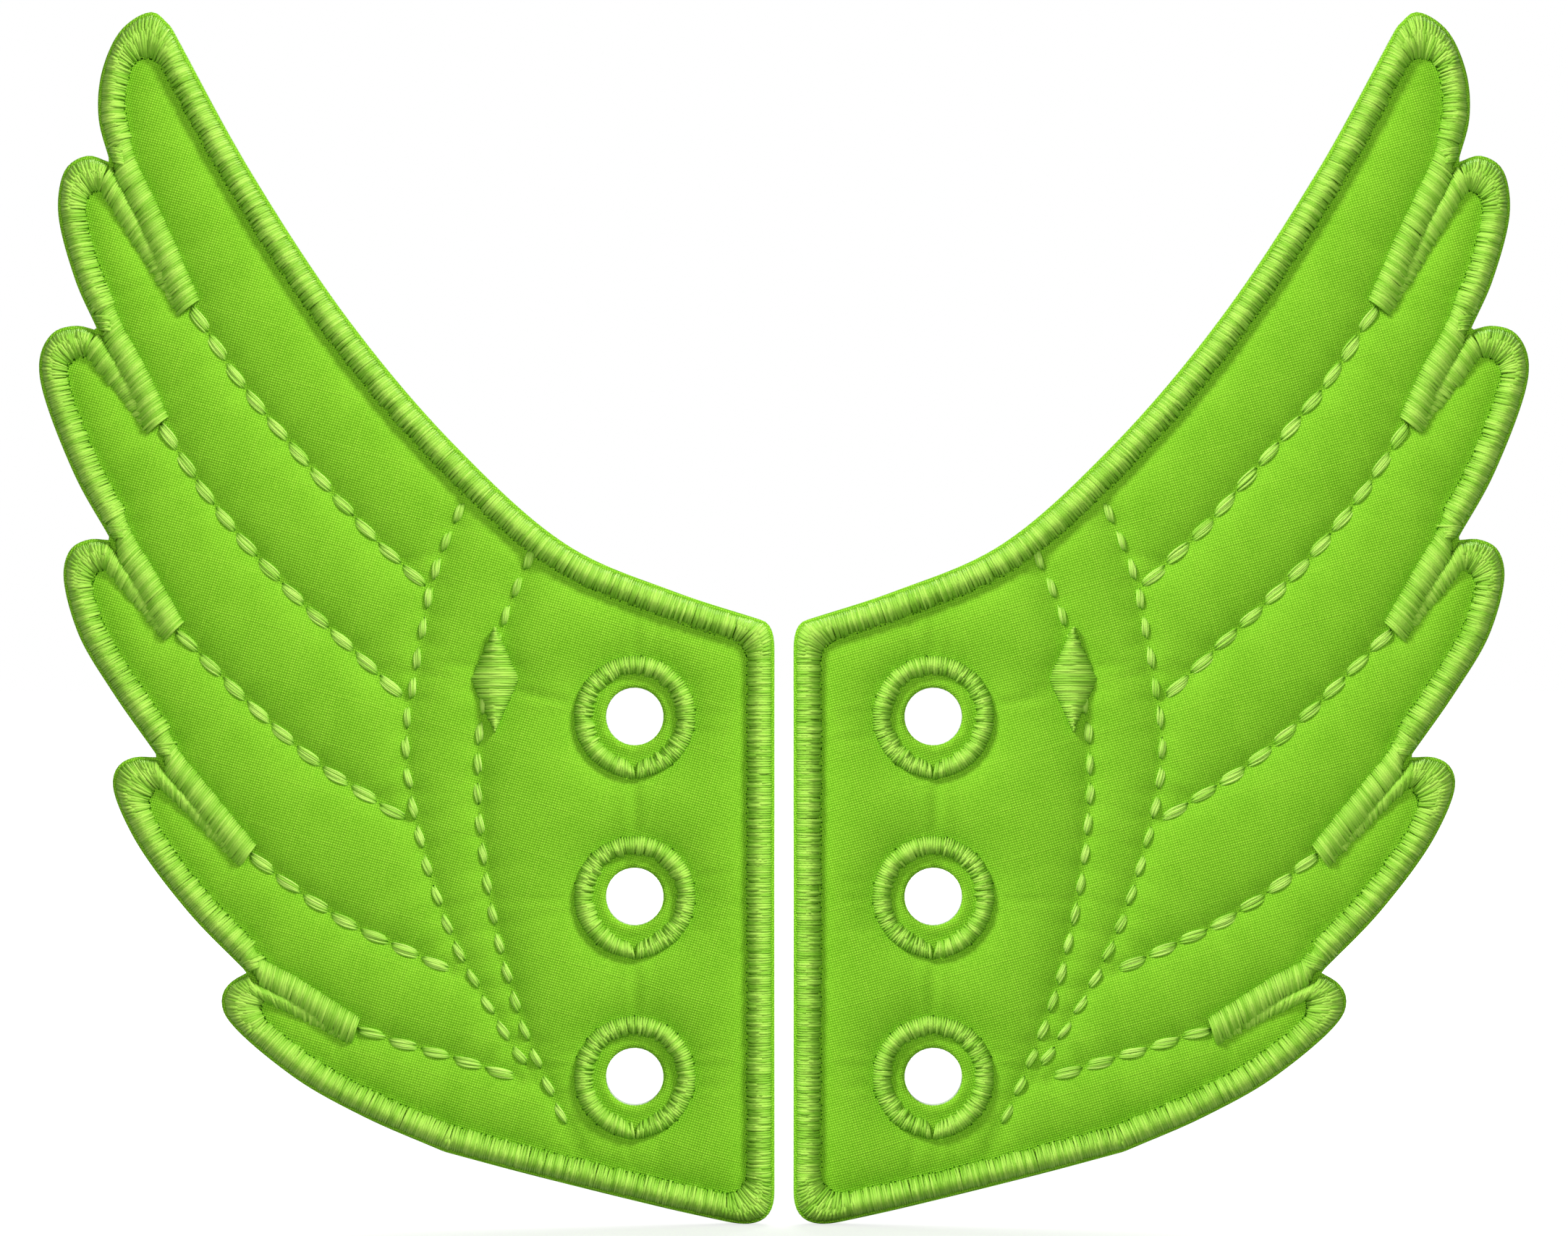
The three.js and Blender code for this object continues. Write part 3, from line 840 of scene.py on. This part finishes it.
def thread_material(name, dark, light, roughness):
    """Glossy embroidery thread: each strand has its own shade at random, which partly stands in for highlight
    streaks; painted shade darkens it where it dives into the cloth, and fine noise gives fibre relief and
    painted glints.
    """
    material, tree, shader = node_tree(name)
    along = attribute(tree, "along")
    depth = value(tree, "SINE", value(tree, "MULTIPLY", along, math.pi))
    open_part = value(tree, "POWER", depth, 0.6)
    # Fine noise: the fibres' relief, and in the colour painted glints in short dashes.
    fibre_and_glints = noise(tree, 6000, 2)
    # Each strand's random tone, partly painted highlight streaks.
    own_tone_and_glints = value(tree, "MULTIPLY", attribute(tree, "tint"), 0.65)
    shade = value(tree, "ADD", own_tone_and_glints, value(tree, "MULTIPLY", fibre_and_glints, 0.6))
    # Painted shade: darker towards each strand's ends, where it dives into the cloth.
    painted_end_shade = value(tree, "ADD", value(tree, "MULTIPLY", open_part, 0.8), 0.2)
    tone = value(tree, "MULTIPLY", shade, painted_end_shade, clamp=True)
    tree.links.new(mixed(tree, tone, dark, light), shader.inputs["Base Color"])
    bumped(tree, shader, fibre_and_glints, 0.03, 0.6)
    shader.inputs["Roughness"].default_value = roughness
    shader.inputs["Specular Tint"].default_value = (0.6, 1, 0.25, 1)
    return material


def foam_material(name):
    material, tree, shader = node_tree(name)
    cells = noise(tree, 5000, 2)
    tree.links.new(mixed(tree, cells, (0.5, 0.62, 0.45), (0.9, 0.93, 0.92)), shader.inputs["Base Color"])
    bumped(tree, shader, cells, 0.1)
    shader.inputs["Roughness"].default_value = 0.9
    return material


def painted_hole_shade_material(name):
    """Painted shade for the inside of a needle hole."""
    material, tree, shader = node_tree(name)
    colour = mixed(tree, noise(tree, 4000, 1), (0.01, 0.07, 0.002), (0.05, 0.2, 0.006))
    tree.links.new(colour, shader.inputs["Base Color"])
    shader.inputs["Roughness"].default_value = 1
    shader.inputs["Specular IOR Level"].default_value = 0
    return material


CLOTH_MATERIAL = cloth_material("lime_ripstop", (0.09, 0.34, 0.004), (0.36, 0.78, 0.045))
SATIN_MATERIAL = thread_material("lime_satin_thread", (0.16, 0.48, 0.008), (0.52, 0.86, 0.12), 0.34)
# The quilting thread is the satin thread made lighter: painted highlight on its bundles.
QUILTING_MATERIAL = thread_material("lime_quilting_thread", (0.22, 0.58, 0.012), (0.62, 0.94, 0.18), 0.36)
FOAM_MATERIAL = foam_material("pale_foam")
# Painted shade for the needle holes.
HOLE_SHADE_MATERIAL = painted_hole_shade_material("needle_pit")


# ======== The cover's swelling ========
def needle_pull(points):
    """How far each point of a quilted line is pulled down by the nearest needle hole, from 0 to 1."""
    pull = np.zeros(len(points))
    for line, stitch in panel_quilting + feather_quilting:
        reach, along = distance(points, line)
        gap = (stitch.pitch + stitch.length) / 2
        near = np.abs((along - gap + stitch.pitch / 2) % stitch.pitch - stitch.pitch / 2)
        pull = np.maximum(pull, np.exp(-((near / PULL_LENGTH) ** 2)) * np.exp(-((reach / PULL_WIDTH) ** 2)))
    return pull


def rumple(points, rng, size, height):
    """Gentle unevenness: a sum of a few plane waves of about the given wavelength."""
    total = np.zeros(len(points))
    for _ in range(8):
        turn = rng.uniform(0, 2 * np.pi)
        ahead = np.array([math.cos(turn), math.sin(turn)])
        wave = points @ ahead * 2 * np.pi / (size * rng.uniform(0.7, 1.4))
        total += np.sin(wave + rng.uniform(0, 2 * np.pi))
    return height * total / 8**0.5


def simulated_swelling(cloth, rng):
    """The cover as slack cloth, sewn down at its stitching and blown out by the padding's pressure."""
    points, held = cloth["points"], cloth["held"]
    first_rise = SIM_START * swell(cloth["reach"]) * (1 + rumple(points, rng, 3, 0.6))
    start = np.column_stack([points, held + first_rise])
    mesh = bpy.data.meshes.new("padding")
    mesh.from_pydata((start * SIM_SCALE).tolist(), [], cloth["triangles"].tolist())
    padding = bpy.data.objects.new("padding", mesh)
    scene = bpy.context.scene
    scene.collection.objects.link(padding)
    sewn = padding.vertex_groups.new(name="sewn")
    sewn.add([int(i) for i in np.nonzero(cloth["reach"] <= 0.001)[0]], 1.0, "REPLACE")
    modifier = padding.modifiers.new("swell", "CLOTH")
    settings = modifier.settings
    settings.quality = 7
    settings.mass = 0.3
    settings.tension_stiffness = 30
    settings.compression_stiffness = 30
    settings.shear_stiffness = 12
    settings.bending_stiffness = 4
    settings.air_damping = 3
    settings.use_pressure = True
    settings.uniform_pressure_force = SIM_PRESSURE
    settings.shrink_min = -SIM_SLACK
    settings.effector_weights.gravity = 0
    settings.vertex_group_mass = "sewn"
    modifier.collision_settings.use_collision = False
    modifier.point_cache.frame_start = 1
    modifier.point_cache.frame_end = SIM_FRAMES
    for step in range(1, SIM_FRAMES + 1):
        scene.frame_set(step)
    swollen = padding.evaluated_get(bpy.context.evaluated_depsgraph_get()).to_mesh()
    end = np.zeros(len(points) * 3)
    swollen.vertices.foreach_get("co", end)
    scene.frame_set(1)
    bpy.data.objects.remove(padding)
    bpy.data.meshes.remove(mesh)
    move = end.reshape(-1, 3) / SIM_SCALE - np.column_stack([points, held])
    slip = np.linalg.norm(move[:, :2], axis=1, keepdims=True)
    move[:, :2] *= np.minimum(1, MOST_SLIP / np.maximum(slip, 1e-6))
    move[:, 2] = MOST_SWELL * np.tanh(move[:, 2] / MOST_SWELL)
    return move


# ======== One wing ========
def build_wing(name, side, cloth, front_move, back_move, seed):
    """Every piece of one wing, from the flat cloth and how far each of its two covers has moved."""
    points, triangles = cloth["points"], cloth["triangles"]
    rng = np.random.default_rng(seed)
    rest = np.column_stack([points, cloth["held"]])
    front = rest + front_move
    back = (rest + back_move * [1, 1, BACK_SHARE]) * [1, 1, -1]
    in_cloth = np.array([0, 0, CLOTH])
    in_foam = np.array([0, 0, CLOTH + LAYER_GAP])

    def bend(piece):
        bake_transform(piece)

    def both(node):
        return [f"{name}_{node}_panel", f"{name}_{node}_flap"]

    def finish(piece, nodes, panel_only=False):
        if panel_only:
            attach(piece, name + "_panel")
        else:
            bend(piece)
        if nodes:
            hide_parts(*nodes)

    def sheet(label, top, bottom, material, nodes):
        finish(plate(f"{name}_{label}", points, triangles, top, bottom, side, material), nodes)

    def threads(label, runs, nodes, panel_only=False, material=SATIN_MATERIAL):
        piece = thread_piece(f"{name}_{label}", runs, side, material)
        finish(piece, nodes, panel_only)

    sheet("front_cloth", front, front - in_cloth, CLOTH_MATERIAL, both("front_cover"))
    sheet("back_cloth", back + in_cloth, back, CLOTH_MATERIAL, both("back_cover"))
    sheet("foam", front - in_foam, back + in_foam, FOAM_MATERIAL, both("foam_core"))

    threads("edging_front", edging_runs(rng, EDGING_CREST[0]), both("edging"))
    threads("edging_back", [flipped(run) for run in edging_runs(rng, EDGING_CREST[1])], both("edging"))
    for label, centre in zip(RINGS, ring_centres):
        runs = ring_runs(centre, rng, RING_CREST[0])
        threads(f"eyelet_satin_{label}", runs, [f"{name}_eyelet_ring_{label}"], panel_only=True)
        runs = [flipped(run) for run in ring_runs(centre, rng, RING_CREST[1])]
        threads(f"eyelet_back_satin_{label}", runs, [f"{name}_eyelet_back_ring_{label}"], panel_only=True)
    for i, divider in enumerate(zip(dividers, notches, forks), 1):
        runs = divider_runs(*divider, rng, DIVIDER_CREST[0])
        threads(f"feather_satin_{i}", runs, [f"{name}_feather_divider_{i}"])
    for i, quilted in enumerate(feather_quilting, 1):
        runs = quilting_runs(*quilted, rng, FEATHER_LINE_CREST[0])
        threads(f"feather_stitches_{i}", runs, [f"{name}_feather_line_{i}"], material=QUILTING_MATERIAL)
    inner_runs, outer_runs = (quilting_runs(*quilted, rng, PANEL_LINE_CREST[0]) for quilted in panel_quilting)
    threads("inner_stitches", inner_runs, both("inner_quilt_line"), material=QUILTING_MATERIAL)
    threads("outer_stitches", outer_runs, [f"{name}_outer_quilt_line"], material=QUILTING_MATERIAL)
    threads("motif_satin", motif_runs(rng, MOTIF_CREST), [f"{name}_stitched_motif"])

    runs = []
    for divider in zip(dividers, notches, forks):
        runs += divider_runs(*divider, rng, DIVIDER_CREST[1])
    for quilted in feather_quilting:
        runs += quilting_runs(*quilted, rng, FEATHER_LINE_CREST[1])
    for quilted in panel_quilting:
        runs += quilting_runs(*quilted, rng, PANEL_LINE_CREST[1])
    threads("back_stitches", [flipped(run) for run in runs], [f"{name}_back_stitching"])
    # Dark plugs at the needle holes: painted shade.
    shade_plugs = needle_hole_shades(hole_places(rng), points, front[:, 2])
    finish(add_piece(f"{name}_needle_holes", *shade_plugs, side, HOLE_SHADE_MATERIAL), [])


def prepare_cloth():
    """The flat cloth, with each point's distance from the stitching and the height it is held at."""
    points, triangles = cut_cloth(CLOTH_SPACING, CLOTH_INSET)
    return {
        "points": points,
        "triangles": triangles,
        "reach": stitch_distance(points),
        "held": sewn_height(points) - NEEDLE_PULL * needle_pull(points),
    }


cloth = prepare_cloth()
swelling = simulated_swelling
moves = [swelling(cloth, np.random.default_rng(seed)) for seed in (3, 4)]
build_wing("right", 1, cloth, moves[0], moves[1], 11)
build_wing("left", -1, cloth, moves[1], moves[0], 12)


# ======== Stage, light and camera ========
VIEW_WIDTH = 166.1  # how much the camera takes in, from side to side
LENS = 120
KEY_SIZE, KEY_POWER = 0.16, 5.4


def add_floor():
    """A plain pale floor that glows white to the camera further out, so that it has no horizon."""
    mesh = bpy.data.meshes.new("floor")
    reach = 4.0
    corners = [(-reach, -reach, 0), (reach, -reach, 0), (reach, reach, 0), (-reach, reach, 0)]
    mesh.from_pydata(corners, [], [(0, 1, 2, 3)])
    floor = bpy.data.objects.new("floor", mesh)
    bpy.context.scene.collection.objects.link(floor)
    material, tree, shader = node_tree("pale_floor")
    seen = tree.nodes.new("ShaderNodeLightPath").outputs["Is Camera Ray"]
    shader.inputs["Base Color"].default_value = (0.45, 0.45, 0.45, 1)
    shader.inputs["Roughness"].default_value = 0.9
    shader.inputs["Specular IOR Level"].default_value = 0
    shader.inputs["Emission Color"].default_value = (1, 1, 1, 1)
    where = tree.nodes.new("ShaderNodeNewGeometry").outputs["Position"]
    far = tree.nodes.new("ShaderNodeVectorMath")
    far.operation = "LENGTH"
    tree.links.new(where, far.inputs[0])
    glow = value(tree, "ADD", value(tree, "MULTIPLY", far.outputs["Value"], 0.4), 0.72)
    strength = value(tree, "MULTIPLY", seen, value(tree, "MINIMUM", glow, 1.0))
    tree.links.new(strength, shader.inputs["Emission Strength"])
    mesh.materials.append(material)


def add_light(name, place, aim, size, power, only=None):
    """A square soft box; with only, it lights that wing's pieces and no others."""
    lamp = bpy.data.lights.new(name, "AREA")
    lamp.size = size
    lamp.energy = power
    light = bpy.data.objects.new(name, lamp)
    light.location = place
    light.rotation_euler = (Vector(aim) - Vector(place)).to_track_quat("-Z", "Y").to_euler()
    bpy.context.scene.collection.objects.link(light)
    if only:
        lit = bpy.data.collections.new("lit_by_" + name)
        for piece in bpy.context.scene.objects:
            if piece.name.startswith(only):
                lit.objects.link(piece)
        light.light_linking.receiver_collection = lit


def add_world():
    """White to the camera, and a softer grey as light."""
    world = bpy.data.worlds.new("studio")
    bpy.context.scene.world = world
    world.use_nodes = True
    tree = world.node_tree
    background = tree.nodes["Background"]
    background.inputs["Color"].default_value = (1, 1, 1, 1)
    seen = tree.nodes.new("ShaderNodeLightPath").outputs["Is Camera Ray"]
    strength = value(tree, "ADD", value(tree, "MULTIPLY", seen, 0.65), 0.35)
    tree.links.new(strength, background.inputs["Strength"])


def add_camera(middle):
    """Straight on to the front, from far enough away to keep the outline flat."""
    camera_data = bpy.data.cameras.new("camera")
    camera_data.lens = LENS
    camera = bpy.data.objects.new("camera", camera_data)
    distance_away = VIEW_WIDTH * MM * camera_data.lens / camera_data.sensor_width
    camera.location = (middle.x, middle.y - distance_away, middle.z)
    camera.rotation_euler = (math.radians(90), 0, 0)
    camera_data.clip_start = 0.01
    camera_data.clip_end = 20
    bpy.context.scene.collection.objects.link(camera)
    bpy.context.scene.camera = camera


centre = (cad_low + cad_high) / 2
add_floor()
add_world()
add_light("key_right", (-0.45, -0.35, 0.58), centre, KEY_SIZE, KEY_POWER, only="right_")
add_light("key_left", (0.45, -0.35, 0.58), centre, KEY_SIZE, KEY_POWER, only="left_")
add_light("fill", (0, -0.9, 0.2), centre, 0.6, 3.4)
add_light("rim", (0.1, 0.7, 0.6), centre, 0.6, 6)
add_camera(centre)
bpy.context.scene.view_settings.view_transform = "Standard"
